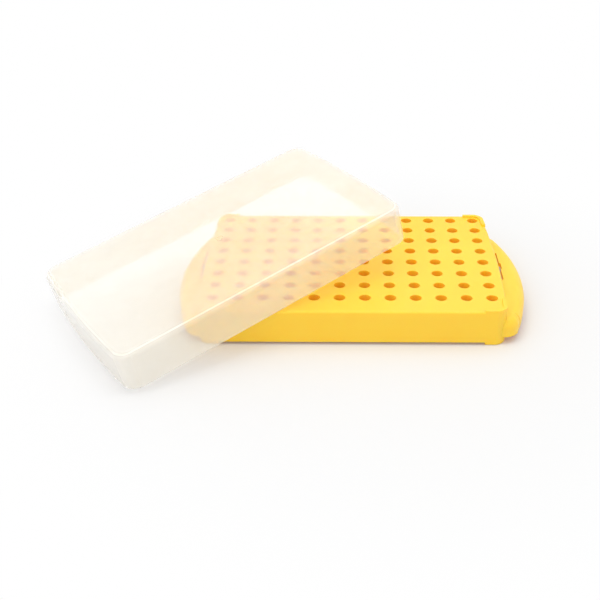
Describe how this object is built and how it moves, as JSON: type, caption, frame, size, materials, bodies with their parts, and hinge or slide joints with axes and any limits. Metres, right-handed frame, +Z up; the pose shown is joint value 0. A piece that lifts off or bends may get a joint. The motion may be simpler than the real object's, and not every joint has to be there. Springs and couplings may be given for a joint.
{
  "type": "lidded tube rack",
  "caption": "Low rectangular moulded rack with a grid of round sleeved wells for small tubes, curved finger wings at both ends and a shallow frosted lift-off lid leaning on it.",
  "frame": {"origin": "centre of the rack block's footprint, on the bench", "axes": "+X along the rack, +Y to its back, +Z up"},
  "size_m": [0.1766, 0.1194, 0.0402],
  "materials": {
    "rack": "yellow moulded plastic, satin",
    "lid": "natural translucent plastic, frosted"
  },
  "bodies": {
    "rack": {"rack": "rack", "left_wing": "rack", "right_wing": "rack"},
    "lid": {"lid": "lid"}
  },
  "joints": [
    {"name": "lid_lift", "type": "slide", "parent": "rack", "child": "lid", "axis": [0, 0, 1], "range_m": [0, 0.12]}
  ]
}
